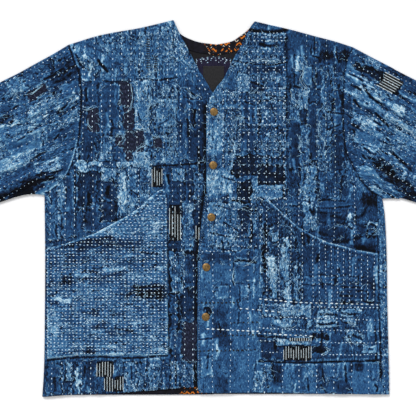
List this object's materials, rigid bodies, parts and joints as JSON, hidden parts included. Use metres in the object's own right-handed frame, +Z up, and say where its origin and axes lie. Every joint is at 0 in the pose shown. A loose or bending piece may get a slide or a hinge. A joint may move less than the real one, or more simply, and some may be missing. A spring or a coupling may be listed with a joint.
{
  "type": "patched boro jacket",
  "caption": "Collarless V-neck jacket of patched and hand-stitched indigo cotton, laid flat and snapped shut, with two slant-top pockets and long straight sleeves.",
  "frame": {"origin": "centre of the bounding box on the surface the jacket lies on", "axes": "+X to the wearer's left, +Y toward the neck, +Z up out of the front, so the jacket lies on its back"},
  "size_m": [1.4, 0.6977, 0.0166],
  "materials": {
    "indigo": "worn, patched and hand-stitched indigo cotton",
    "washed_indigo": "washed indigo cotton, closely hand-stitched",
    "lining": "black printed lining cloth",
    "quilt": "dark purple cotton with running stitches",
    "brass": "antique brass"
  },
  "bodies": {
    "root": {"back": "indigo", "neck_facing": "lining", "neck_patch": "quilt", "hem_facing": "lining", "right_front": "indigo", "left_front": "indigo", "right_sleeve": "indigo", "left_sleeve": "indigo", "right_pocket": "washed_indigo", "left_pocket": "indigo", "snap_1": "brass", "snap_2": "brass", "snap_3": "brass", "snap_4": "brass", "snap_5": "brass"}
  },
  "joints": []
}
